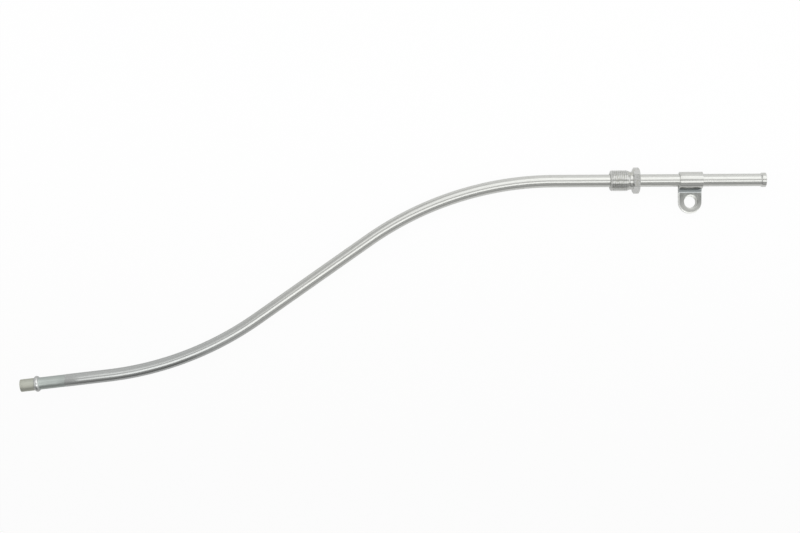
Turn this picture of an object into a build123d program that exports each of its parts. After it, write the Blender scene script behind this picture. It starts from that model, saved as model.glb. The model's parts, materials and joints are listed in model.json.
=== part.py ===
"""Engine oil dipstick tube: a bent guide tube, the nut loose on it and the strap clamp round it.

Millimetres and degrees. Each piece is modelled with the upper straight run of the tube on the X axis,
its mouth at the origin and the bends in the XY plane. The whole part is then laid down as it rests on
a flat surface, on the nut's hexagon and the tube's bead.
"""

import math
import os

from build123d import *

# Tube, from the mouth to the lower end, with the turn of each bend in degrees
TUBE_OD = 9.525
TUBE_WALL = 0.71
UPPER_STRAIGHT = 161.4
UPPER_BEND_ANGLE = 34.74
MIDDLE_STRAIGHT = 103.8
LOWER_BEND_ANGLE = 28.42
LOWER_STRAIGHT = 67.4
BEND_RADIUS = 248.0

# Swaged mouth: an S curve out to a short straight lip, its edge broken on both sides
LIP_OD = 11.0
LIP_LENGTH = 2.4
SWAGE_LENGTH = 2.2
LIP_CHAMFER = 0.2

# Lower end: spigot, rolled bead and the band that the beading die gripped
BEAD_FROM_END = 12.7
BEAD_HEIGHT = 1.29
BEAD_WIDTH = 3.7
BEAD_FOOT_RADIUS = 0.4
GRIP_FROM_END = 35.1
GRIP_DEPTH = 0.1
SPIGOT_CHAMFER = 0.4

# Tube nut: hexagon towards the mouth, relief neck, then the thread at its major diameter
NUT_FROM_MOUTH = 96.3
NUT_CLEARANCE = 0.15
HEX_ACROSS_FLATS = 17.46
HEX_THICKNESS = 5.1
HEX_CHAMFER_ANGLE = 30.0
NECK_LENGTH = 2.3
NECK_DEPTH = 1.1
THREAD_DIA = 15.875
THREAD_LENGTH = 14.9
THREAD_CHAMFER = 1.5
NOSE_CHAMFER = 1.45
NUT_BACK_CHAMFER = 0.4
NUT_SEAT_CHAMFER = 0.9

# Strap clamp: a strip folded round the tube, its rear leaf straight on from under the tube and its
# front leaf folded down on it, both pierced
CLAMP_FROM_MOUTH = 56.95
CLAMP_CLEARANCE = 0.05
STRIP_WIDTH = 17.46
STRIP_THICKNESS = 1.5875
LEAF_GAP = 0.2
FOLD_RADIUS = 3.5
HOLE_DROP = 16.5
REAR_HOLE_DIA = 8.9
FRONT_HOLE_OVERSIZE = 1.8
FRONT_HOLE_OUT = 0.75
FRONT_HOLE_UP = 0.45

OUTER_RADIUS = TUBE_OD / 2
INNER_RADIUS = OUTER_RADIUS - TUBE_WALL


def turned(half_section):
    """Solid turned about the X axis from a half section in the XY plane."""
    return revolve(half_section, axis=Axis.X)


def half_rectangle(start, end, radius):
    """Part of a half section: from the axis out to a radius, between two places on X."""
    return Pos(start, 0) * Rectangle(end - start, radius, align=(Align.MIN, Align.MIN))


def swage_start():
    """Place on X where the plain bore ends and the mouth starts to open."""
    return -LIP_LENGTH - SWAGE_LENGTH


def upper_run():
    """Upper straight run with its swaged mouth, one wall thick from end to end."""
    lip_radius = LIP_OD / 2
    rise = lip_radius - OUTER_RADIUS
    curve = (SWAGE_LENGTH**2 + rise**2) / (4 * rise)
    turn = math.degrees(2 * math.atan(rise / SWAGE_LENGTH))
    hollow = (swage_start(), OUTER_RADIUS + curve)
    crest = (-LIP_LENGTH, lip_radius - curve)

    outer_hollow = CenterArc(hollow, curve, -90, turn)
    outer_crest = CenterArc(crest, curve, 90, turn)
    inner_hollow = CenterArc(hollow, curve + TUBE_WALL, -90, turn)
    inner_crest = CenterArc(crest, curve - TUBE_WALL, 90, turn)
    outer_lip = Line(outer_crest @ 0, (0, lip_radius))
    inner_lip = Line((0, lip_radius - TUBE_WALL), inner_crest @ 0)
    edge = Line(outer_lip @ 1, inner_lip @ 0)
    far_outer = (-UPPER_STRAIGHT, OUTER_RADIUS)
    far_inner = (-UPPER_STRAIGHT, INNER_RADIUS)
    outer_wall = Line(far_outer, outer_hollow @ 0)
    inner_wall = Line(inner_hollow @ 0, far_inner)
    join = Line(far_inner, far_outer)
    outside = [outer_wall, outer_hollow, outer_crest, outer_lip]
    inside = [inner_lip, inner_crest, inner_hollow, inner_wall]
    section = make_face([*outside, edge, *inside, join])
    lip_corners = section.vertices().sort_by(Axis.X)[-2:]
    return turned(chamfer(lip_corners, LIP_CHAMFER))


def bend_path():
    """Centre line from the upper run's end, through both bends, to the lower run's start."""
    upper = JernArc((-UPPER_STRAIGHT, 0), (-1, 0), BEND_RADIUS, UPPER_BEND_ANGLE)
    middle = Line(upper @ 1, upper @ 1 + (upper % 1) * MIDDLE_STRAIGHT)
    lower = JernArc(middle @ 1, middle % 1, BEND_RADIUS, -LOWER_BEND_ANGLE)
    return Wire([upper, middle, lower])


def bent_run(path):
    """The two bends and the straight between them."""
    ring = Circle(OUTER_RADIUS) - Circle(INNER_RADIUS)
    return sweep(Plane(path @ 0, z_dir=path % 0) * ring, path=path)


def lower_run():
    """Lower straight run, its end at the origin and the tube going off along +X."""
    bead_radius = (BEAD_WIDTH**2 / 4 + BEAD_HEIGHT**2) / (2 * BEAD_HEIGHT)
    bead_centre = Pos(BEAD_FROM_END, OUTER_RADIUS + BEAD_HEIGHT - bead_radius)
    section = half_rectangle(0, LOWER_STRAIGHT, OUTER_RADIUS)
    section -= Pos(0, OUTER_RADIUS - GRIP_DEPTH) * half_rectangle(BEAD_FROM_END, GRIP_FROM_END, TUBE_OD)
    section += bead_centre * Circle(bead_radius)
    section -= bead_centre * Circle(bead_radius - TUBE_WALL)
    bore = Rectangle(LOWER_STRAIGHT, INNER_RADIUS + TUBE_OD, align=(Align.MIN, Align.MAX))
    section -= Pos(0, INNER_RADIUS) * bore
    by_bead = section.vertices().filter_by(lambda corner: abs(corner.X - BEAD_FROM_END) < BEAD_WIDTH)
    outer_feet = by_bead.sort_by(Axis.Y)[-2:]
    section = fillet(outer_feet, BEAD_FOOT_RADIUS)
    rim = section.vertices().group_by(Axis.X)[0].sort_by(Axis.Y)[-1]
    return turned(chamfer(rim, SPIGOT_CHAMFER))


def lower_end(path):
    """Place of the tube's lower end, with X pointing up the tube."""
    point = path @ 1 + (path % 1) * LOWER_STRAIGHT
    return Location(point, (0, 0, UPPER_BEND_ANGLE - LOWER_BEND_ANGLE))


def tube():
    """The whole bent tube, from its mouth to its spigot."""
    path = bend_path()
    return upper_run() + bent_run(path) + lower_end(path) * lower_run()


def tube_nut():
    """Male tube nut, the hexagon's back face at the origin and the thread towards -X."""
    thread_radius = THREAD_DIA / 2
    neck_radius = thread_radius - NECK_DEPTH
    thread_start = HEX_THICKNESS + NECK_LENGTH
    length = thread_start + THREAD_LENGTH
    nose = Polyline(
        (0, 0),
        (0, neck_radius),
        (-thread_start, neck_radius),
        (-thread_start - THREAD_CHAMFER, thread_radius),
        (-length + NOSE_CHAMFER, thread_radius),
        (-length, thread_radius - NOSE_CHAMFER),
        (-length, 0),
        close=True,
    )

    face_radius = HEX_ACROSS_FLATS / 2
    corner_radius = face_radius / math.cos(math.radians(30))
    corner_cut = (corner_radius - face_radius) * math.tan(math.radians(HEX_CHAMFER_ANGLE))
    crown = Polyline(
        (0, 0),
        (0, face_radius),
        (-corner_cut, corner_radius),
        (-HEX_THICKNESS + corner_cut, corner_radius),
        (-HEX_THICKNESS, face_radius),
        (-HEX_THICKNESS, 0),
        close=True,
    )
    flats = Plane.YZ * RegularPolygon(face_radius, 6, major_radius=False)
    hexagon = extrude(flats, -HEX_THICKNESS) & turned(make_face(crown))

    bore_radius = OUTER_RADIUS + NUT_CLEARANCE
    bore = Polyline(
        (0, 0),
        (0, bore_radius + NUT_BACK_CHAMFER),
        (-NUT_BACK_CHAMFER, bore_radius),
        (-length + NUT_SEAT_CHAMFER, bore_radius),
        (-length, bore_radius + NUT_SEAT_CHAMFER),
        (-length, 0),
        close=True,
    )
    return turned(make_face(nose)) + hexagon - turned(make_face(bore))


def strip_side(offset):
    """One side of the folded strip in section, a given way out from its middle, leaf tip to leaf tip.

    X is down the tab and Y is up through the leaves. The band turns about the tube from the fold, over
    the top and round to the rear leaf under it. The fold turns the other way, tangent to the band and
    to the front leaf, which lies one thickness and the gap above the rear one.
    """
    band_radius = OUTER_RADIUS + CLAMP_CLEARANCE + STRIP_THICKNESS / 2
    fold_radius = FOLD_RADIUS + STRIP_THICKNESS / 2
    front_middle = LEAF_GAP + STRIP_THICKNESS - band_radius
    fold_up = front_middle + fold_radius
    fold_down = math.sqrt((band_radius + fold_radius) ** 2 - fold_up**2)
    fold_angle = math.degrees(math.atan2(fold_up, fold_down))
    tip = HOLE_DROP + STRIP_WIDTH / 2

    front = front_middle + offset
    rear = -band_radius - offset
    front_leaf = Line((tip, front), (fold_down, front))
    fold = CenterArc((fold_down, fold_up), fold_radius - offset, -90, fold_angle - 90)
    band = CenterArc((0, 0), band_radius + offset, fold_angle, 270 - fold_angle)
    rear_leaf = Line((0, rear), (tip, rear))
    return [front_leaf, fold, band, rear_leaf]


def between_leaves():
    """Height of the middle of the gap between the clamp's leaves."""
    return LEAF_GAP / 2 - OUTER_RADIUS - CLAMP_CLEARANCE


def clamp():
    """Strap clamp round the X axis, its tab down along -Y and its front leaf on top."""
    outside = strip_side(STRIP_THICKNESS / 2)
    inside = strip_side(-STRIP_THICKNESS / 2)
    front_tip = Line(outside[0] @ 0, inside[0] @ 0)
    rear_tip = Line(outside[-1] @ 1, inside[-1] @ 1)
    across = Plane((0, 0, 0), x_dir=(0, -1, 0), z_dir=(-1, 0, 0))
    section = across * make_face([*outside, rear_tip, *inside, front_tip])
    strap = extrude(section, STRIP_WIDTH / 2, both=True)

    hole = Pos(0, -HOLE_DROP)
    blank = hole * Circle(STRIP_WIDTH / 2)
    blank += hole * Rectangle(STRIP_WIDTH, HOLE_DROP + STRIP_WIDTH, align=(Align.CENTER, Align.MIN))
    rear_hole = hole * Circle(REAR_HOLE_DIA / 2)
    front_radius = (REAR_HOLE_DIA + FRONT_HOLE_OVERSIZE) / 2
    front_hole = hole * Pos(FRONT_HOLE_OUT, FRONT_HOLE_UP) * Circle(front_radius)
    strap &= extrude(blank, STRIP_WIDTH, both=True)
    strap -= extrude(rear_hole, STRIP_WIDTH, both=True)
    return strap - Pos(0, 0, between_leaves()) * extrude(front_hole, STRIP_WIDTH)


def rest_roll():
    """Roll about the upper run that brings the bead down level with the nut's lower flat."""
    bead = lower_end(bend_path()) * Pos(BEAD_FROM_END, 0)
    drop = HEX_ACROSS_FLATS / 2 - (OUTER_RADIUS + BEAD_HEIGHT)
    return math.degrees(math.asin(drop / -bead.position.Y))


laid = Rot(X=rest_roll())
pieces = {
    "tube": laid * tube(),
    "tube_nut": Pos(-NUT_FROM_MOUTH, 0) * tube_nut(),
    "clamp": laid * Pos(-CLAMP_FROM_MOUTH, 0) * clamp(),
}

# The origin is under the middle of the whole part, on the surface that it lies on
box = Compound(list(pieces.values())).bounding_box()
placed = Pos(-box.center().X, -box.center().Y, -box.min.Z)

os.makedirs("parts", exist_ok=True)
for name, piece in pieces.items():
    export_step(placed * piece, f"parts/{name}.step")
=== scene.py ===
# %% [markdown]
# # A dipstick tube in bright zinc
#
# This part is the guide tube of an engine oil dipstick. It is three pieces: a long steel tube with two
# bends, a swaged mouth and a rolled bead; a threaded nut that is loose on the tube; and a strap folded
# round the tube as a clamp. The CAD model fixes where they are and how they move. This lesson makes the
# same three pieces as finer meshes, gives each its finish, and lights them as a small studio would.
#
# The first cell loads the CAD frame. Sizes that the CAD record states, such as radii and the places of
# mounts, are read from it, so that the meshes can't drift away from the solids.

# %% Load the CAD frame
import json
import math

import bmesh
import bpy
from mathutils import Matrix, Vector


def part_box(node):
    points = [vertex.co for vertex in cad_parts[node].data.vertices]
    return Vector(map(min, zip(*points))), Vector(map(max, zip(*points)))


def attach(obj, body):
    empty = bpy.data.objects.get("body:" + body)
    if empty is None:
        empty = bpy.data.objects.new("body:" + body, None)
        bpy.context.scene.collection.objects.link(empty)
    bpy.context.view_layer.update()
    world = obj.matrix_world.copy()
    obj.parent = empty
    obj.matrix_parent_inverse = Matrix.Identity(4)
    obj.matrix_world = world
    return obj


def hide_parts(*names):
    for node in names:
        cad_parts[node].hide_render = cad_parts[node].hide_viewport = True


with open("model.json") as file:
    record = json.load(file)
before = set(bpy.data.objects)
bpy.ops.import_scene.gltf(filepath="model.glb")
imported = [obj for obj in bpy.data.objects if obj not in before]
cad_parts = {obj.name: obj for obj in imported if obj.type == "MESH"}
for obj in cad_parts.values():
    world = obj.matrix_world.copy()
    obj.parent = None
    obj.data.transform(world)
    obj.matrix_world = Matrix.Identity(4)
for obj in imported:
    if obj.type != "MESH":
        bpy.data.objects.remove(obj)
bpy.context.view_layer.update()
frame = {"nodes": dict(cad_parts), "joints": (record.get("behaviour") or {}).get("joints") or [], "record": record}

MM = 0.001
mounts = {mount["name"]: mount for mount in frame["record"]["mounts"]}


def stated(mount, size):
    """A size that the CAD record states for a mount, in metres."""
    return mounts[mount]["dims"][size] * MM


print("Loaded", sorted(frame["nodes"]), "with mounts", sorted(mounts))

# %% [markdown]
# ## Two tools for the workshop: a pen and a lathe
#
# A tube and a nut are both round, so each can be turned on a lathe from half of its section. The section
# could be a list of points, but then every arc would be a row of numbers. Here a pen draws it: a straight
# line extrudes the pen's last vertex, and an arc spins it about a centre. The lathe then spins the whole
# chain of edges round the X axis. A full spin needs `use_merge`, or the last ring would lie loose on the
# first.

# %% Make the pen and the lathe
class Pen:
    """Draws a chain of edges in the XY plane of a new mesh."""

    def __init__(self, x, y):
        self.mesh = bmesh.new()
        self.tip = self.mesh.verts.new((x, y, 0))

    def line(self, x, y, steps=1):
        """Goes straight to a place, in equal edges."""
        stride = (Vector((x, y, 0)) - self.tip.co) / steps
        for _ in range(steps):
            self.tip = bmesh.ops.extrude_vert_indiv(self.mesh, verts=[self.tip])["verts"][0]
            bmesh.ops.translate(self.mesh, verts=[self.tip], vec=stride)

    def arc(self, x, y, angle, steps):
        """Goes round a centre by an angle, anticlockwise if it is positive."""
        spun = bmesh.ops.spin(
            self.mesh, geom=[self.tip], cent=(x, y, 0), axis=(0, 0, 1), angle=angle, steps=steps
        )
        self.tip = next(part for part in spun["geom_last"] if isinstance(part, bmesh.types.BMVert))


WELD = 0.001 * MM


def lathe(mesh, steps):
    """Turns a half section right round the X axis, with its faces outwards."""
    chain = mesh.verts[:] + mesh.edges[:]
    bmesh.ops.spin(
        mesh, geom=chain, cent=(0, 0, 0), axis=(1, 0, 0), angle=math.tau, steps=steps, use_merge=True
    )
    bmesh.ops.remove_doubles(mesh, verts=mesh.verts, dist=WELD)
    bmesh.ops.recalc_face_normals(mesh, faces=mesh.faces)


print("The pen draws lines and arcs, and the lathe turns them")

# %% [markdown]
# ## Three more tools: a saw, a file and a press
#
# The saw cuts a mesh with a plane, and can throw away what is past it. The file rounds off sharp edges,
# because no real edge is perfectly sharp and the small round catches the light. The press bends: the tube
# is formed straight and then bent, and the clamp is pierced flat and then folded. Both are the same move,
# in which a length that lies along -X is wrapped round one cylinder after another. A Curve modifier could
# do it, but it would need a curve object for each piece and stretches what it bends. Here one short
# function says where a point goes. The last bend is made first, because a bend carries along everything
# past it.

# %% Make the saw, the file and the press
def saw(mesh, place, normal, keep_far=False):
    """Cuts a mesh with a plane and returns the cut's edges.

    What is past the plane is cleared unless told to keep it.
    """
    everything = mesh.verts[:] + mesh.edges[:] + mesh.faces[:]
    cut = bmesh.ops.bisect_plane(
        mesh, geom=everything, dist=WELD, plane_co=place, plane_no=normal, clear_outer=not keep_far
    )
    return [part for part in cut["geom_cut"] if isinstance(part, bmesh.types.BMEdge)]


def sharp_edges(mesh, angle):
    """The edges where two faces meet at more than an angle in degrees."""
    return [edge for edge in mesh.edges if edge.calc_face_angle(0) > math.radians(angle)]


def break_edges(mesh, edges, size, segments):
    """Rounds edges off, as a file or a tumbling drum does."""
    bmesh.ops.bevel(
        mesh, geom=edges, offset=size, offset_type="OFFSET", affect="EDGES",
        segments=segments, profile=0.5, material=-1, clamp_overlap=True,
    )


def bent(point, bends):
    """Where a point of a straight length goes in its bends.

    A bend is its start along the length, its radius and its turn.
    """
    along = -point.x
    for start, radius, turn in reversed(bends):
        angle = min(max((along - start) / radius, 0), abs(turn))
        centre = Vector((-start, -math.copysign(radius, turn), 0))
        slid = point + Vector((radius * angle, 0, 0))
        point = centre + Matrix.Rotation(math.copysign(angle, turn), 3, "Z") @ (slid - centre)
    return point


def make_piece(mesh, name, crease):
    """Turns a bmesh into an object at the origin, smooth apart from edges over the crease angle."""
    data = bpy.data.meshes.new(name)
    mesh.to_mesh(data)
    mesh.free()
    data.shade_smooth()
    data.set_sharp_from_angle(angle=math.radians(crease))
    piece = bpy.data.objects.new(name, data)
    bpy.context.scene.collection.objects.link(piece)
    print(name, "has", len(data.polygons), "faces")
    return piece


print("The saw, the file and the press are ready")

# %% [markdown]
# ## The tube, formed straight
#
# The real tube is cut to length, its mouth is swaged out on a punch to a short straight lip, and a bead is
# rolled near its lower end while a die grips the tube behind it. The die leaves a short dull band, pressed
# in by a tenth of a millimetre. The pen draws only the outside, from the lip of the mouth to the spigot.
# Solidify then gives the wall its thickness, so that the inside of the mouth and of the bead follow the
# outside, as they do in formed sheet metal.

# %% Give the tube its sizes
OUTER_RADIUS = stated("lower_spigot", "r_mm")
WALL = OUTER_RADIUS - stated("mouth_bore", "r_mm")
UPPER_STRAIGHT = 161.4 * MM
MIDDLE_STRAIGHT = 103.8 * MM
LOWER_STRAIGHT = 67.4 * MM
BEND_RADIUS = 248.0 * MM
UPPER_BEND = math.radians(34.74)
LOWER_BEND = math.radians(28.42)
LIP_RADIUS = 5.5 * MM
LIP_LENGTH = 2.4 * MM
SWAGE_LENGTH = 2.2 * MM
GRIP_FROM_END = 35.1 * MM
GRIP_DEPTH = 0.1 * MM
GRIP_RAMP = 0.4 * MM
BEAD_FROM_END = 12.7 * MM
BEAD_HEIGHT = 1.29 * MM
BEAD_WIDTH = 3.7 * MM
BEAD_FOOT = 0.4 * MM

upper_arc = BEND_RADIUS * UPPER_BEND
lower_arc = BEND_RADIUS * LOWER_BEND
lower_bend_start = UPPER_STRAIGHT + upper_arc + MIDDLE_STRAIGHT
lower_start = lower_bend_start + lower_arc
tube_length = lower_start + LOWER_STRAIGHT
mouth_length = LIP_LENGTH + SWAGE_LENGTH
swage_rise = LIP_RADIUS - OUTER_RADIUS
swage_radius = (SWAGE_LENGTH**2 + swage_rise**2) / (4 * swage_rise)
swage_turn = 2 * math.atan(swage_rise / SWAGE_LENGTH)
bead_radius = (BEAD_WIDTH**2 / 4 + BEAD_HEIGHT**2) / (2 * BEAD_HEIGHT)
bead_x = BEAD_FROM_END - tube_length
bead_y = OUTER_RADIUS + BEAD_HEIGHT - bead_radius
print("Tube", round(tube_length / MM, 1), "mm along its middle, wall", round(WALL / MM, 2), "mm")

# %% Draw the outside of the straight tube
BEND_STEP = 2.5 * MM
LIP_STEPS = 2
SWAGE_STEPS = 8
UPPER_STEPS = 12
MIDDLE_STEPS = 6
LOWER_STEPS = 3
BEAD_STEPS = 20
FOOT_STEPS = 5


def bead_foot(wall_radius):
    """How far from the bead its foot fillet is centred, and the angle that the fillet turns through."""
    rise = wall_radius + BEAD_FOOT - bead_y
    reach = math.sqrt((bead_radius + BEAD_FOOT) ** 2 - rise**2)
    return reach, math.atan2(reach, rise)


def tube_outside():
    """Half section of the outside, from the lip of the mouth to the end of the spigot."""
    pen = Pen(0, LIP_RADIUS)
    pen.line(-LIP_LENGTH, LIP_RADIUS, LIP_STEPS)
    pen.arc(-LIP_LENGTH, LIP_RADIUS - swage_radius, swage_turn, SWAGE_STEPS)
    pen.arc(-mouth_length, OUTER_RADIUS + swage_radius, -swage_turn, SWAGE_STEPS)
    pen.line(-UPPER_STRAIGHT, OUTER_RADIUS, UPPER_STEPS)
    pen.line(-UPPER_STRAIGHT - upper_arc, OUTER_RADIUS, round(upper_arc / BEND_STEP))
    pen.line(-lower_bend_start, OUTER_RADIUS, MIDDLE_STEPS)
    pen.line(-lower_start, OUTER_RADIUS, round(lower_arc / BEND_STEP))
    pen.line(GRIP_FROM_END - tube_length, OUTER_RADIUS, LOWER_STEPS)

    gripped = OUTER_RADIUS - GRIP_DEPTH
    tube_side, tube_turn = bead_foot(gripped)
    end_side, end_turn = bead_foot(OUTER_RADIUS)
    pen.line(GRIP_FROM_END - GRIP_RAMP - tube_length, gripped)
    pen.line(bead_x + tube_side, gripped, LOWER_STEPS)
    pen.arc(bead_x + tube_side, gripped + BEAD_FOOT, -tube_turn, FOOT_STEPS)
    pen.arc(bead_x, bead_y, tube_turn + end_turn, BEAD_STEPS)
    pen.arc(bead_x - end_side, OUTER_RADIUS + BEAD_FOOT, -end_turn, FOOT_STEPS)
    pen.line(-tube_length, OUTER_RADIUS, LOWER_STEPS)
    return pen.mesh


straight_tube = tube_outside()
print("Drew the outside in", len(straight_tube.verts), "points")

# %% Turn it, give it a wall and break its rims
TUBE_SIDES = 72
LIP_EDGE = 0.2 * MM
SPIGOT_EDGE = 0.4 * MM
RIM_ANGLE = 60

lathe(straight_tube, TUBE_SIDES)
bmesh.ops.solidify(straight_tube, geom=straight_tube.faces[:], thickness=WALL)
rims = sharp_edges(straight_tube, RIM_ANGLE)


def on_spigot_rim(edge):
    """Whether an edge is on the outside corner of the lower end."""
    corner = edge.verts[0].co
    return corner.x < WALL - tube_length and math.hypot(corner.y, corner.z) > OUTER_RADIUS - WALL / 2


spigot_rim = [edge for edge in rims if on_spigot_rim(edge)]
other_rims = [edge for edge in rims if not on_spigot_rim(edge)]
break_edges(straight_tube, other_rims, LIP_EDGE, segments=3)
break_edges(straight_tube, spigot_rim, SPIGOT_EDGE, segments=4)
print("Broke the rims of the lip and the spigot, each in", TUBE_SIDES, "edges")

# %% [markdown]
# ## The tube, bent
#
# Before it is bent, each vertex keeps its straight place in an attribute. The finish will need it: draw
# lines run along the tube and must follow both bends, and the dull band is a distance from the end. Then
# every vertex goes through the two bends, the tube is rolled a little, because it lies on its bead and on
# the nut, and it is moved to the mouth that the CAD record gives.

# %% Bend the tube and put it in its place
mouth_axis = Vector(mounts["mouth_bore"]["axis"])
mouth = Vector(mounts["mouth_bore"]["pos_m"])
mouth += mouth_axis * (stated("mouth_bore", "length_mm") / 2 + mouth_length)
hole_axis = Vector(mounts["clamp_hole"]["axis"])
roll = math.atan2(-hole_axis.y, hole_axis.z)
laid = Matrix.Translation(mouth) @ Matrix.Rotation(roll, 4, "X")

tube_bends = [
    (UPPER_STRAIGHT, BEND_RADIUS, UPPER_BEND),
    (lower_bend_start, BEND_RADIUS, -LOWER_BEND),
]
straight_place = straight_tube.verts.layers.float_vector.new("straight")
for vertex in straight_tube.verts:
    vertex[straight_place] = vertex.co
    vertex.co = bent(vertex.co, tube_bends)
bmesh.ops.transform(straight_tube, matrix=laid, verts=straight_tube.verts)
tube = make_piece(straight_tube, "bent_tube", crease=40)
print("Rolled by", round(math.degrees(roll), 3), "degrees, mouth at", [round(c, 5) for c in mouth])

# %% [markdown]
# ## The nut: turned body and hexagon
#
# The nut is turned from hexagon bar: a bore, a relief neck, a thread and a hexagon whose corners are
# chamfered. The hexagon could start as a six-sided prism, but the curved edge that the chamfer leaves on
# each flat is the hard part. So it is made the other way round: the lathe turns the chamfered blank, and
# six plane cuts take the flats off it. Each cut leaves an open loop, which is filled. The chain is left
# open at the neck and at the nose, where the thread will join it.

# %% Give the nut its sizes
joint = frame["joints"][0]
nut_low, nut_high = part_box("tube_nut")
nut_back = Vector((nut_high.x, joint["pos_m"][1], joint["pos_m"][2]))
nut_length = nut_high.x - nut_low.x
flat_radius = (nut_high.z - nut_low.z) / 2
THREAD_RADIUS = stated("nut_thread", "r_mm")
HEX_SIDES = 6
HEX_THICKNESS = 5.1 * MM
HEX_CHAMFER = math.radians(30)
HEX_CORNER_ROUND = 0.12 * MM
NECK_DEPTH = 1.1 * MM
NECK_LENGTH = 2.3 * MM
NECK_FILLET = 0.4 * MM
TUBE_CLEARANCE = 0.15 * MM
BACK_CHAMFER = 0.4 * MM
SEAT_CHAMFER = 0.9 * MM
NOSE_ROUND = 1.45 * MM

neck_radius = THREAD_RADIUS - NECK_DEPTH
bore_radius = OUTER_RADIUS + TUBE_CLEARANCE
nose_radius = THREAD_RADIUS - NOSE_ROUND
corner_radius = flat_radius / math.cos(math.pi / HEX_SIDES) - HEX_CORNER_ROUND
corner_cut = (corner_radius - flat_radius) * math.tan(HEX_CHAMFER)
thread_start = HEX_THICKNESS + NECK_LENGTH
print("Nut", round(nut_length / MM, 2), "mm long,", round(2 * flat_radius / MM, 2), "mm across its flats")

# %% Turn the nut's body and cut its flats
NUT_SIDES = 96
FILLET_STEPS = 4


def nut_body():
    """Half section of all but the thread, from the neck round the hexagon and bore to the nose."""
    pen = Pen(-thread_start, neck_radius)
    pen.line(-HEX_THICKNESS - NECK_FILLET, neck_radius)
    pen.arc(-HEX_THICKNESS - NECK_FILLET, neck_radius + NECK_FILLET, math.pi / 2, FILLET_STEPS)
    pen.line(-HEX_THICKNESS, flat_radius)
    pen.line(corner_cut - HEX_THICKNESS, corner_radius)
    pen.line(-corner_cut, corner_radius)
    pen.line(0, flat_radius)
    pen.line(0, bore_radius + BACK_CHAMFER)
    pen.line(-BACK_CHAMFER, bore_radius)
    pen.line(SEAT_CHAMFER - nut_length, bore_radius)
    pen.line(-nut_length, bore_radius + SEAT_CHAMFER)
    pen.line(-nut_length, nose_radius)
    return pen.mesh


nut_mesh = nut_body()
lathe(nut_mesh, NUT_SIDES)
for flat in range(HEX_SIDES):
    facing = Matrix.Rotation(flat * math.tau / HEX_SIDES, 3, "X") @ Vector((0, 0, 1))
    rim = saw(nut_mesh, facing * flat_radius, facing)
    bmesh.ops.edgeloop_fill(nut_mesh, edges=rim)
print("Turned the nut in", NUT_SIDES, "steps and cut", HEX_SIDES, "flats")

# %% [markdown]
# ## The nut: a real thread
#
# The thread is 18 turns to the inch. Bump could fake it, but its crests show on the nut's outline, so it
# is modelled. The pen draws one pitch of the thread's form, and a spin that also steps along the axis
# winds it into a helix. The start of each turn falls on the end of the last, so merging doubles makes one
# surface. It is wound too long and sawn square at both ends. Pulling each vertex in to a limit then runs
# the thread out into the neck and rounds it over at the nose.

# %% Draw the thread's form and wind it
PITCH = 25.4 * MM / 18
CREST_WIDTH = 0.3 * PITCH
ROOT_WIDTH = 0.25 * PITCH
FLANK_ANGLE = math.radians(30)
FLANK_STEPS = 4
FLAT_STEPS = 2
SPARE_TURNS = 2


def thread_form(start):
    """One pitch of the thread's form: half a root, a flank, the crest, a flank and half a root."""
    flank = (PITCH - CREST_WIDTH - ROOT_WIDTH) / 2
    root_radius = THREAD_RADIUS - flank / math.tan(FLANK_ANGLE)
    pen = Pen(start, root_radius)
    pen.line(start + ROOT_WIDTH / 2, root_radius, FLAT_STEPS)
    pen.line(start + ROOT_WIDTH / 2 + flank, THREAD_RADIUS, FLANK_STEPS)
    pen.line(start + ROOT_WIDTH / 2 + flank + CREST_WIDTH, THREAD_RADIUS, 2 * FLAT_STEPS)
    pen.line(start + PITCH - ROOT_WIDTH / 2, root_radius, FLANK_STEPS)
    pen.line(start + PITCH, root_radius, FLAT_STEPS)
    return pen.mesh


turns = math.ceil((nut_length - thread_start) / PITCH) + SPARE_TURNS
thread = thread_form(-nut_length - SPARE_TURNS * PITCH)
bmesh.ops.spin(
    thread, geom=thread.verts[:] + thread.edges[:], cent=(0, 0, 0), axis=(1, 0, 0),
    dvec=(PITCH / NUT_SIDES, 0, 0), angle=turns * math.tau, steps=turns * NUT_SIDES,
)
bmesh.ops.remove_doubles(thread, verts=thread.verts, dist=WELD)
print("Wound", turns, "turns of", round(PITCH / MM, 3), "mm")

# %% [markdown]
# ## The nut: thread and body in one
#
# The saw leaves extra vertices in the thread's end rings, so they don't match the body's rings. Bridging
# two unlike rings can twist, and then its faces lie over each other. Instead each vertex of an end ring is
# turned about the axis to the nearest of the lathe's steps. Both rings are then the same, and merging
# doubles welds them.

# %% Trim the thread and weld it to the body
THREAD_RUN_OUT = 2.4 * MM
SEAM_WELD = 0.01 * MM
thread_ends = {-nut_length: -1, -thread_start: 1}


def on_end_ring(place):
    """A place on an end of the thread, set square and turned to the nearest of the lathe's steps."""
    step = math.tau / NUT_SIDES
    angle = math.atan2(place.z, place.y)
    turned = Matrix.Rotation(round(angle / step) * step - angle, 3, "X") @ place
    turned.x = min(thread_ends, key=lambda end: abs(end - place.x))
    return turned


def thread_limit(x):
    """How far out the thread may stand at a place along the nut."""
    from_neck = max(-thread_start - x, 0)
    from_nose = min(max(x + nut_length, 0), NOSE_ROUND)
    run_out = neck_radius + from_neck * (THREAD_RADIUS - neck_radius) / THREAD_RUN_OUT
    rounding = nose_radius + math.sqrt(from_nose * (2 * NOSE_ROUND - from_nose))
    return min(run_out, rounding)


for end, outward in thread_ends.items():
    saw(thread, (end, 0, 0), (outward, 0, 0))
for vertex in thread.verts:
    if vertex.is_boundary:
        vertex.co = on_end_ring(vertex.co)
    radius = math.hypot(vertex.co.y, vertex.co.z)
    vertex.co.yz *= min(thread_limit(vertex.co.x) / radius, 1)

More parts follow.
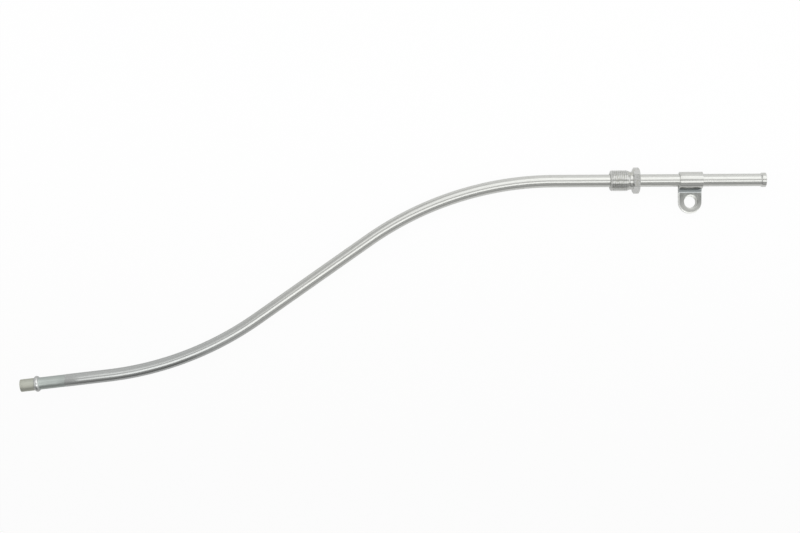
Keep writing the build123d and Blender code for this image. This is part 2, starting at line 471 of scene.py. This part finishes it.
wound = bpy.data.meshes.new("thread")
thread.to_mesh(wound)
thread.free()
nut_mesh.from_mesh(wound)
bpy.data.meshes.remove(wound)
bmesh.ops.remove_doubles(nut_mesh, verts=nut_mesh.verts, dist=SEAM_WELD)
bmesh.ops.recalc_face_normals(nut_mesh, faces=nut_mesh.faces)
bmesh.ops.translate(nut_mesh, verts=nut_mesh.verts, vec=nut_back)
print("Edges still open:", sum(edge.is_boundary for edge in nut_mesh.edges))
nut = make_piece(nut_mesh, "threaded_nut", crease=25)

# %% [markdown]
# ## The clamp: sheared, pierced and folded
#
# The clamp is a strip of 1.6 mm steel, 17.5 mm wide. A press shears the outline with its rounded ends,
# pierces a hole near each end, and folds the strip round the tube. Its rear leaf goes straight on from
# under the tube, and its front leaf is folded down on the rear one. The mesh goes through the same steps:
# an outline and two circles are filled as one flat sheet, cuts across it give it something to bend at,
# solidify makes it a plate, the sheared edges are rounded, and the bending function makes the fold and
# then the band. The front hole is a little larger than the rear one and off its centre, so a crescent of
# the rear leaf shows through it.

# %% Give the clamp its sizes
STRIP_WIDTH = 17.46 * MM
STRIP_THICKNESS = stated("clamp_hole", "length_mm")
LEAF_GAP = 0.2 * MM
FOLD_RADIUS = 3.5 * MM
BAND_CLEARANCE = 0.05 * MM
HOLE_DROP = 16.5 * MM
REAR_HOLE_RADIUS = stated("clamp_hole", "r_mm")
FRONT_HOLE_ROOM = 0.9 * MM
FRONT_HOLE_OUT = 0.75 * MM
FRONT_HOLE_UP = 0.45 * MM

band_middle = OUTER_RADIUS + BAND_CLEARANCE + STRIP_THICKNESS / 2
fold_middle = FOLD_RADIUS + STRIP_THICKNESS / 2
front_middle = LEAF_GAP + STRIP_THICKNESS - band_middle
fold_up = front_middle + fold_middle
fold_down = math.sqrt((band_middle + fold_middle) ** 2 - fold_up**2)
fold_turn = math.pi / 2 - math.atan2(fold_up, fold_down)
band_turn = math.pi + fold_turn
half_width = STRIP_WIDTH / 2
tab_tip = HOLE_DROP + half_width
front_leaf = tab_tip - fold_down
fold_arc = fold_middle * fold_turn
band_arc = band_middle * band_turn
strip_length = front_leaf + fold_arc + band_arc + tab_tip
print("Strip", round(strip_length / MM, 1), "mm long when flat")

# %% Shear and pierce the blank
ROUND_STEPS = 48
SIDE_STEPS = 6


def strip_blank():
    """The flat strip in the XY plane, with the front leaf's tip at the origin and its length along -X."""
    pen = Pen(-half_width, half_width)
    pen.arc(-half_width, 0, -math.pi, ROUND_STEPS)
    pen.line(half_width - strip_length, -half_width, SIDE_STEPS)
    pen.arc(half_width - strip_length, 0, -math.pi, ROUND_STEPS)
    pen.line(-half_width, half_width, SIDE_STEPS)
    front = Matrix.Translation((-half_width - FRONT_HOLE_UP, FRONT_HOLE_OUT, 0))
    rear = Matrix.Translation((half_width - strip_length, 0, 0))
    for middle, radius in ((front, REAR_HOLE_RADIUS + FRONT_HOLE_ROOM), (rear, REAR_HOLE_RADIUS)):
        bmesh.ops.create_circle(pen.mesh, segments=ROUND_STEPS, radius=radius, matrix=middle)
    bmesh.ops.remove_doubles(pen.mesh, verts=pen.mesh.verts, dist=WELD)
    bmesh.ops.triangle_fill(pen.mesh, edges=pen.mesh.edges[:], use_beauty=True, normal=(0, 0, 1))
    return pen.mesh


blank = strip_blank()
print("Pierced a blank of", len(blank.faces), "faces")

# %% Score and thicken the blank
FOLD_STEPS = 16
BAND_STEPS = 60
SHEARED_EDGE = 0.35 * MM

strip_bends = [
    (front_leaf, fold_middle, -fold_turn),
    (front_leaf + fold_arc, band_middle, band_turn),
]
for (start, radius, turn), steps in zip(strip_bends, (FOLD_STEPS, BAND_STEPS)):
    for step in range(steps + 1):
        score = -start - radius * abs(turn) * step / steps
        saw(blank, (score, 0, 0), (1, 0, 0), keep_far=True)
bmesh.ops.recalc_face_normals(blank, faces=blank.faces)
upright = 1 if blank.faces[0].normal.z > 0 else -1
bmesh.ops.translate(blank, verts=blank.verts, vec=(0, 0, upright * STRIP_THICKNESS / 2))
bmesh.ops.solidify(blank, geom=blank.faces[:], thickness=STRIP_THICKNESS)
break_edges(blank, sharp_edges(blank, RIM_ANGLE), SHEARED_EDGE, segments=3)
print("Made it a plate of", round(STRIP_THICKNESS / MM, 2), "mm")

# %% Fold the plate round the tube
flat_place = blank.verts.layers.float_vector.new("flat")
for vertex in blank.verts:
    vertex[flat_place] = vertex.co
on_edge = Matrix(((1, 0, 0), (0, 0, 1), (0, -1, 0)))
bmesh.ops.transform(blank, matrix=on_edge.to_4x4(), verts=blank.verts)
for vertex in blank.verts:
    vertex.co = bent(vertex.co, strip_bends)
tip_to_tube = Matrix(((0, 0, -1), (-1, 0, 0), (0, 1, 0))).to_4x4()
clamp_low, clamp_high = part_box("clamp")
clamp_middle = (clamp_low.x + clamp_high.x) / 2 - mouth.x
seated = laid @ Matrix.Translation((clamp_middle, -tab_tip, front_middle)) @ tip_to_tube
bmesh.ops.transform(blank, matrix=seated, verts=blank.verts)
clamp = make_piece(blank, "strap_clamp", crease=35)
print("Folded by", round(math.degrees(fold_turn), 1), "and", round(math.degrees(band_turn), 1), "degrees")

# %% [markdown]
# ## Each piece rides on its CAD body
#
# The tube and the clamp crimped on it are one body, and the nut, which turns on the tube, is the other.
# Each new mesh stands for a CAD solid, which stays hidden for the physics.

# %% Hand the pieces over to the frame
def box_gap(piece, low, high):
    """How far the box of a piece is from another box, at the side where it is farthest."""
    gaps = []
    for axis in range(3):
        reach = [vertex.co[axis] for vertex in piece.data.vertices]
        gaps += [abs(min(reach) - low[axis]), abs(max(reach) - high[axis])]
    return max(gaps)


for piece, body, node, finish in (
    (tube, "tube_body", "tube", "zinc_tube"),
    (nut, "nut", "tube_nut", "turned_nut"),
    (clamp, "tube_body", "clamp", "zinc_strap"),
):
    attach(piece, body)
    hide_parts(node)
    gap = box_gap(piece, *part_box(node))
    print(piece.name, "stands for", node, "and its box is within", round(gap / MM, 3), "mm")

# %% [markdown]
# ## Writing finishes as sums
#
# A finish is a net of nodes, and most of those are arithmetic. Wiring them one by one hides the sum that
# they make. The class below wraps a socket, so that `0.2 + 0.1 * streaks` adds the Math nodes by itself.
# Every node comes from one method, `node`, which takes the node's type, its settings and what goes into
# its sockets. The others are short names for the few nodes that all the finishes use.

# %% Wrap a shader socket
class Wire:
    """A shader socket that can stand in a Python sum."""

    def __init__(self, tree, socket=None):
        self.tree = tree
        self.socket = socket

    def node(self, kind, settings=None, sockets=None, output=0):
        """Adds a node, sets it up, feeds its sockets, and returns the wire from one of its outputs."""
        made = self.tree.nodes.new(kind)
        for name, value in (settings or {}).items():
            setattr(made, name, value)
        for name, value in (sockets or {}).items():
            if isinstance(value, Wire):
                self.tree.links.new(value.socket, made.inputs[name])
            else:
                made.inputs[name].default_value = value
        return Wire(self.tree, made.outputs[output] if made.outputs else None)

    def maths(self, operation, *terms):
        """A Math node on wires and numbers."""
        return self.node("ShaderNodeMath", {"operation": operation}, dict(enumerate(terms)))

    def __add__(self, other):
        return self.maths("ADD", self, other)

    def __sub__(self, other):
        return self.maths("SUBTRACT", self, other)

    def __rsub__(self, other):
        return self.maths("SUBTRACT", other, self)

    def __mul__(self, other):
        return self.maths("MULTIPLY", self, other)

    __radd__ = __add__
    __rmul__ = __mul__

    def axis(self, name):
        """One of the three numbers in a vector."""
        return self.node("ShaderNodeSeparateXYZ", {}, {0: self}, output=name)

    def between(self, low, high):
        """0 below one value and 1 above another, with a smooth step between them."""
        sockets = {"Value": self, "From Min": low, "From Max": high}
        return self.node("ShaderNodeMapRange", {"interpolation_type": "SMOOTHSTEP"}, sockets)

    def marks(self, per_metre, detail, roughness=0.5):
        """Soft noise from 0 to 1 over a vector, with so many marks to the metre along each axis."""
        spread = self.node("ShaderNodeVectorMath", {"operation": "MULTIPLY"}, {0: self, 1: per_metre})
        sockets = {"Vector": spread, "Scale": 1.0, "Detail": detail, "Roughness": roughness}
        return self.node("ShaderNodeTexNoise", {}, sockets)

    def blend(self, low, high):
        """A colour that goes from one to another as this mask goes from 0 to 1."""
        sockets = {"Factor": self, 6: low, 7: high}
        return self.node("ShaderNodeMix", {"data_type": "RGBA"}, sockets, output=2)

    def tinted(self, mask, colour):
        """This colour, changed to another one where a mask is 1."""
        return mask.blend(self, colour)


def distance(x, y):
    """How far a place is from the origin, from the wires of its two coordinates."""
    return x.maths("SQRT", x * x + y * y)


print("Sums of sockets now add their own nodes")

# %% Start and end a finish
def new_finish(name):
    """A material with an empty tree, and the wire that its nodes start from."""
    finish = bpy.data.materials.new(name)
    finish.use_nodes = True
    finish.node_tree.nodes.clear()
    return finish, Wire(finish.node_tree)


def metal(start, colour, roughness, height, relief):
    """Ends a tree as bare metal, with a height times a relief in metres as its bump."""
    bump = start.node("ShaderNodeBump", {}, {"Height": height, "Strength": 1.0, "Distance": relief})
    shader = start.node(
        "ShaderNodeBsdfPrincipled", {},
        {"Base Color": colour, "Metallic": 1.0, "Roughness": roughness, "Normal": bump},
    )
    start.node("ShaderNodeOutputMaterial", {}, {"Surface": shader})


print("Every finish of the part will end as bare metal")

# %% [markdown]
# ## Bright zinc on drawn tube
#
# Drawn tube carries fine lines along its length, and zinc plate keeps them. They could be stretched noise
# on Object coordinates, but that runs straight through the bends. The straight place that each vertex kept
# is used instead, so the lines follow the tube, and so do the short marks where it was rubbed. Along the
# same coordinate the colour is painted a little darker and cooler towards the lower end, as shade there, the
# band that the die gripped is dull and greenish with a ragged edge, the rolled bead is bright, and the
# spigot past it is rough and a little yellow.

# %% Finish the tube
ZINC = (0.62, 0.625, 0.60, 1)
SHADED_LOWER_ZINC = (0.575, 0.59, 0.58, 1)
RUBBED_TUBE = (0.46, 0.47, 0.43, 1)
BEAD_ZINC = (0.63, 0.64, 0.63, 1)
GRIPPED_ZINC = (0.535, 0.58, 0.555, 1)
YELLOWED_ZINC = (0.60, 0.595, 0.50, 1)

DRAW_LINES = (25, 2600, 2600)
RUB_MARKS = (180, 1100, 1100)
RUB_LEVELS = (0.5, 0.75)
RUB_STRENGTH = 0.4
PATCHES = (40, 160, 160)
RAGGED_EDGE = (60, 300, 300)
RAGGED_REACH = 3 * MM

LOWER_END = (120 * MM, 240 * MM)
GRIP_EDGE = (GRIP_FROM_END, GRIP_FROM_END + 2 * MM)
BEAD_TUBE_SIDE = (BEAD_FROM_END + 1.4 * MM, BEAD_FROM_END + 1.9 * MM)
BEAD_SPIGOT_SIDE = (BEAD_FROM_END - 2.5 * MM, BEAD_FROM_END - 1.5 * MM)
YELLOW_LEAST, YELLOW_MORE = 0.4, 0.6

PLATE_ROUGHNESS = 0.10
LINE_ROUGHNESS = 0.10
PATCH_ROUGHNESS = 0.06
GRIP_ROUGHNESS = 0.22
SPIGOT_ROUGHNESS = 0.12
PATCH_HEIGHT = 2
PLATE_RELIEF = 0.002 * MM


def zinc_tube():
    """Bright plate with draw lines, which changes along the tube, with painted shade towards the lower end."""
    finish, start = new_finish("bright_zinc_tube")
    straight = start.node("ShaderNodeAttribute", {"attribute_name": "straight"}, output="Vector")
    lines = straight.marks(DRAW_LINES, detail=4)
    rubs = straight.marks(RUB_MARKS, detail=3).between(*RUB_LEVELS)
    patches = straight.marks(PATCHES, detail=2)
    ragged = straight.marks(RAGGED_EDGE, detail=3) * RAGGED_REACH

    from_end = straight.axis("X") + tube_length
    lower = 1 - from_end.between(*LOWER_END)
    gripped = 1 - (from_end + ragged).between(*GRIP_EDGE)
    past_tube = 1 - from_end.between(*BEAD_TUBE_SIDE)
    spigot = 1 - from_end.between(*BEAD_SPIGOT_SIDE)
    bead = past_tube - spigot
    dull = gripped - bead

    # Painted shade: the colour goes darker and cooler towards the lower end.
    colour = lower.blend(ZINC, SHADED_LOWER_ZINC)
    colour = colour.tinted(RUB_STRENGTH * rubs, RUBBED_TUBE)
    colour = colour.tinted(dull, GRIPPED_ZINC)
    colour = colour.tinted(bead, BEAD_ZINC)
    colour = colour.tinted(spigot * (YELLOW_LEAST + YELLOW_MORE * patches), YELLOWED_ZINC)
    roughness = PLATE_ROUGHNESS + LINE_ROUGHNESS * lines + PATCH_ROUGHNESS * patches
    roughness += GRIP_ROUGHNESS * dull + SPIGOT_ROUGHNESS * spigot
    metal(start, colour, roughness, lines + PATCH_HEIGHT * patches, PLATE_RELIEF)
    return finish


tube.data.materials.append(zinc_tube())
print("Finished the tube")

# %% [markdown]
# ## The turned nut
#
# A turning tool leaves rings, so the nut's fine marks are noise that changes fast along its axis and
# slowly across it. On Object coordinates they stay with the nut as it turns. The plate is satin, with dull
# specks and faint olive stains where the dip ran off. The roots of the thread are painted darker, as shade
# in the hollows.

# %% Finish the nut
SATIN_ZINC = (0.64, 0.645, 0.63, 1)
DULL_AND_SHADED_ZINC = (0.44, 0.44, 0.41, 1)
OLIVE = (0.42, 0.41, 0.30, 1)

TOOL_RINGS = (5000, 120, 120)
SPECKS = (1000, 1000, 1000)
SPECK_LEVELS = (0.45, 0.65)
SPECK_STRENGTH = 0.5
STAINS = (260, 260, 260)
STAIN_LEVELS = (0.55, 0.75)
STAIN_STRENGTH = 0.4
ROOT_SHADE_EDGE = (THREAD_RADIUS - 0.6 * MM, THREAD_RADIUS - 0.2 * MM)
ROOT_SHADE_STRENGTH = 0.25

SATIN_ROUGHNESS = 0.13
SPECK_ROUGHNESS = 0.06
SATIN_RELIEF = 0.001 * MM


def turned_nut():
    """Satin plate with tool rings, specks and stains, and painted shade in the roots of the thread."""
    finish, start = new_finish("satin_turned_zinc")
    place = start.node("ShaderNodeTexCoord", output="Object")
    rings = place.marks(TOOL_RINGS, detail=2)
    specks = place.marks(SPECKS, detail=3)
    stains = place.marks(STAINS, detail=2).between(*STAIN_LEVELS)
    from_axis = distance(place.axis("Y") - nut_back.y, place.axis("Z") - nut_back.z)
    shaded_root = 1 - from_axis.between(*ROOT_SHADE_EDGE)

    colour = (STAIN_STRENGTH * stains).blend(SATIN_ZINC, OLIVE)
    # Real dull specks, plus painted shade that darkens the roots of the thread.
    dull = SPECK_STRENGTH * specks.between(*SPECK_LEVELS) + ROOT_SHADE_STRENGTH * shaded_root
    colour = colour.tinted(dull, DULL_AND_SHADED_ZINC)
    roughness = SATIN_ROUGHNESS + SPECK_ROUGHNESS * specks
    metal(start, colour, roughness, rings + specks, SATIN_RELIEF)
    return finish


nut.data.materials.append(turned_nut())
print("Finished the nut")

# %% [markdown]
# ## The strap
#
# Strip is rolled, so its lines run along it, and they go round the band and the fold with it. Like the
# tube, the strap kept its flat place before it was folded, and the lines use that. The front leaf faces up
# and is painted dark, as its reflection of the dim gap overhead, darker still where it has scuffs, and
# painted shade darkens the crease. The fold is painted darker and a little blue, as shade and reflection
# there. One long edge of the front leaf carries a painted highlight. The rim is where a place is nearly
# half the strip's width from its middle line, or from the centre of its round end.

# %% Finish the strap
STRAP_ZINC = (0.60, 0.605, 0.58, 1)
SHADED_FOLD_ZINC = (0.50, 0.535, 0.54, 1)
PAINTED_DARK_ZINC = (0.28, 0.288, 0.276, 1)
EDGE_HIGHLIGHT = (0.86, 0.87, 0.84, 1)

ROLL_LINES = (60, 1900, 1900)
SCUFFS = (160, 420, 420)
SCUFF_LEVELS = (0.35, 0.65)
DARK_LEAST, DARK_MORE = 0.7, 0.6
CREASE_SHADE_STRENGTH = 0.5

DARK_LEAF_START = 2 * MM
FOLD_START = (front_leaf, front_leaf + 1 * MM)
FOLD_END = (front_leaf + fold_arc - 1 * MM, front_leaf + fold_arc + 1 * MM)
CREASE_START = (front_leaf - 2 * MM, front_leaf)
CREASE_END = (front_leaf, front_leaf + 2 * MM)
RIM_EDGE = (half_width - 1.0 * MM, half_width - 0.3 * MM)
HIGHLIGHT_SIDE = (-6 * MM, -1 * MM)

RUBBED_ROUGHNESS = 0.10
CREASE_ROUGHNESS = 0.16


def zinc_strap():
    """Rolled plate, painted dark on the front leaf and in the crease and fold, with a painted highlight at one
    edge.
    """
    finish, start = new_finish("rolled_zinc_strap")
    flat = start.node("ShaderNodeAttribute", {"attribute_name": "flat"}, output="Vector")
    lines = flat.marks(ROLL_LINES, detail=3)
    scuffs = flat.marks(SCUFFS, detail=4, roughness=0.6)

    from_tip = flat.axis("X") * -1
    past_leaf = from_tip.between(*FOLD_START)
    fold_shade = past_leaf * (1 - from_tip.between(*FOLD_END))
    creased = from_tip.between(*CREASE_START) * (1 - from_tip.between(*CREASE_END))
    dark_front_leaf = from_tip.between(DARK_LEAF_START, front_leaf) * (1 - past_leaf)

    across = flat.axis("Y")
    past_end = start.maths("MAXIMUM", half_width - from_tip, from_tip - (strip_length - half_width))
    past_end = start.maths("MAXIMUM", past_end, 0.0)
    rim = distance(past_end, across).between(*RIM_EDGE)
    edge_highlight = rim * (1 - across.between(*HIGHLIGHT_SIDE)) * (1 - past_leaf)

    # Painted shade and reflection: the fold is darker and a little blue.
    colour = fold_shade.blend(STRAP_ZINC, SHADED_FOLD_ZINC)
    # Painted reflection: the up-facing front leaf is darkened as it mirrors the dim gap overhead, more where it
    # has real scuffs.
    colour = colour.tinted(dark_front_leaf * (DARK_LEAST + DARK_MORE * scuffs.between(*SCUFF_LEVELS)), PAINTED_DARK_ZINC)
    # Painted shade in the crease.
    colour = colour.tinted(CREASE_SHADE_STRENGTH * creased, PAINTED_DARK_ZINC)
    # Painted highlight along one long edge of the front leaf.
    colour = colour.tinted(edge_highlight, EDGE_HIGHLIGHT)
    roughness = PLATE_ROUGHNESS + LINE_ROUGHNESS * lines
    roughness += RUBBED_ROUGHNESS * dark_front_leaf + CREASE_ROUGHNESS * creased
    metal(start, colour, roughness, lines + scuffs, PLATE_RELIEF)
    return finish


clamp.data.materials.append(zinc_strap())
print("Finished the strap")

# %% [markdown]
# ## The studio: a white floor
#
# The part lies on a plain white floor. A white surface under soft light renders a little grey, and
# lighting it up to white would burn out the metal. So to the camera the floor's material is mostly a glow
# of strength 1, which is white, and the rest is paper that still takes the part's shadow. In reflections
# less of it glows, so that the metal shows the floor and also the shadow under itself. The paper is painted
# darker towards the front, as shade on the near floor, which keeps the near side of the tube from washing out.

# %% Lay the floor
FLOOR_SIZE = 12.0
FLOOR_GLOW = 0.96
MIRRORED_GLOW = 0.3
# The front paper is painted darker, as shade on the near floor that the metal mirrors.
SHADED_FRONT_PAPER = (0.30, 0.30, 0.30, 1)
BACK_PAPER = (0.95, 0.95, 0.95, 1)
PAPER_FADE = (-0.20, 0.16)
WHITE = (1, 1, 1, 1)


def white_floor():
    """Paper that glows white to the camera and less in reflections."""
    finish, start = new_finish("white_floor")
    seen, mirrored, through = (
        start.node("ShaderNodeLightPath", output=f"Is {ray} Ray")
        for ray in ("Camera", "Glossy", "Transmission")
    )
    back = start.node("ShaderNodeTexCoord", output="Object").axis("Y").between(*PAPER_FADE)
    paper = start.node("ShaderNodeBsdfDiffuse", {}, {"Color": back.blend(SHADED_FRONT_PAPER, BACK_PAPER)})
    glow = start.node("ShaderNodeEmission", {}, {"Color": WHITE, "Strength": 1.0})
    share = FLOOR_GLOW * seen + MIRRORED_GLOW * (mirrored + through)
    both = start.node("ShaderNodeMixShader", {}, {0: share, 1: paper, 2: glow})
    start.node("ShaderNodeOutputMaterial", {}, {"Surface": both})
    return finish


floor_mesh = bmesh.new()
bmesh.ops.create_grid(floor_mesh, x_segments=1, y_segments=1, size=FLOOR_SIZE / 2)
floor = make_piece(floor_mesh, "floor", crease=30)
floor.data.materials.append(white_floor())

# %% [markdown]
# ## The studio: two long softboxes and a fill
#
# Bright metal shows what stands round it. Across the tube the reflections run, from its far side to its
# near side: a broad bright band, a thin grey line, a narrow bright band, a dark band and the floor. Two
# long softboxes overhead with a gap between them, where the camera looks through, make the first three.
# The dark band is the room past the nearer box, and it is darkest at the lower end, because a low fill
# stands only by the upper end. A softbox adds its radiance to the room behind it, so the softboxes are
# dimmer than they look.

# %% Hang the softboxes and stand the fill
BOX_HEIGHT = 1.3
SOFTBOXES = {
    "far_softbox": {"x": (-0.66, 2.2), "y": (0.34, 2.1), "radiance": 0.54},
    "near_softbox": {"x": (-0.5, 2.2), "y": (-0.88, -0.14), "radiance": 0.96},
}
FILL = {"x": (0.0, 1.4), "y": (-0.35, 0.35), "radiance": 0.28}
FILL_AWAY = 0.7


def softbox(name, x, y, radiance):
    """A rectangle of light in the XY plane that shines down, as bright as a surface of that radiance."""
    light = bpy.data.lights.new(name, "AREA")
    light.shape = "RECTANGLE"
    light.size = x[1] - x[0]
    light.size_y = y[1] - y[0]
    light.energy = radiance * math.pi * light.size * light.size_y
    hung = bpy.data.objects.new(name, light)
    hung.location = (sum(x) / 2, sum(y) / 2, 0)
    bpy.context.scene.collection.objects.link(hung)
    return hung


for name, size in SOFTBOXES.items():
    softbox(name, **size).location.z = BOX_HEIGHT
fill = softbox("near_fill", **FILL)
fill.rotation_euler.x = math.pi / 2
fill.location += Vector((0, -FILL_AWAY, FILL["y"][1]))
print("Hung", sorted(SOFTBOXES), "and a fill")

# %% [markdown]
# ## The studio: the room
#
# The room is the world's own light. Its level grows towards the far side and overhead, it steps up from
# left to right, most on the far side, and two side walls light the edges that face along the tube. The
# directions are those of the world, so x is to the right, y away from the viewer and z up.

# %% Light the room
ROOM_LEVEL = 0.44
FAR_RISE = 0.215
UPWARD_RISE = 0.165
RIGHT_STEP = (-0.4, 0.25)
RIGHT_LEVEL = 0.12
RIGHT_FAR_RISE = 0.26
WALL_EDGE = (0.5, 0.85)
WALL_END = (0.35, 0.6)
WALL_LEVEL = 0.4


def lit_room():
    """A world whose glow changes with the direction."""
    room = bpy.data.worlds.new("room")
    room.use_nodes = True
    room.node_tree.nodes.clear()
    start = Wire(room.node_tree)
    direction = start.node("ShaderNodeTexCoord", output="Generated")
    x, y, z = (direction.axis(name) for name in "XYZ")
    on_right = x.between(*RIGHT_STEP)
    aside, ahead = (start.maths("ABSOLUTE", part) for part in (x, y))
    side_walls = aside.between(*WALL_EDGE) * (1 - ahead.between(*WALL_END))
    level = ROOM_LEVEL + FAR_RISE * y + UPWARD_RISE * z
    level += on_right * (RIGHT_LEVEL + RIGHT_FAR_RISE * y) + WALL_LEVEL * side_walls
    glow = start.node("ShaderNodeBackground", {}, {"Color": WHITE, "Strength": level})
    start.node("ShaderNodeOutputWorld", {}, {"Surface": glow})
    return room


bpy.context.scene.world = lit_room()
print("Lit the room with", len(bpy.context.scene.world.node_tree.nodes), "nodes")

# %% [markdown]
# ## The camera
#
# The photograph was taken from straight above with a long lens, turned by a third of a degree. The
# camera's height comes from the lens and from the scale of the picture at the tube.

# %% Set up the camera
PICTURE_WIDTH = 800
MM_PER_PIXEL = 0.762
LENS = 70.0
SENSOR = 36.0
CAMERA_TURN = math.radians(-0.374)
AIM_FROM_MOUTH = (-278.9 * MM, -64.28 * MM)

camera_data = bpy.data.cameras.new("camera")
camera_data.lens = LENS
camera_data.sensor_width = SENSOR
camera = bpy.data.objects.new("camera", camera_data)
camera_height = PICTURE_WIDTH * MM_PER_PIXEL * MM * LENS / SENSOR
camera.location = mouth + Vector((*AIM_FROM_MOUTH, camera_height))
camera.rotation_euler = (0, 0, CAMERA_TURN)
bpy.context.scene.collection.objects.link(camera)
bpy.context.scene.camera = camera
bpy.context.scene.view_settings.view_transform = "Standard"
print("Camera", round(camera.location.z, 3), "m up")
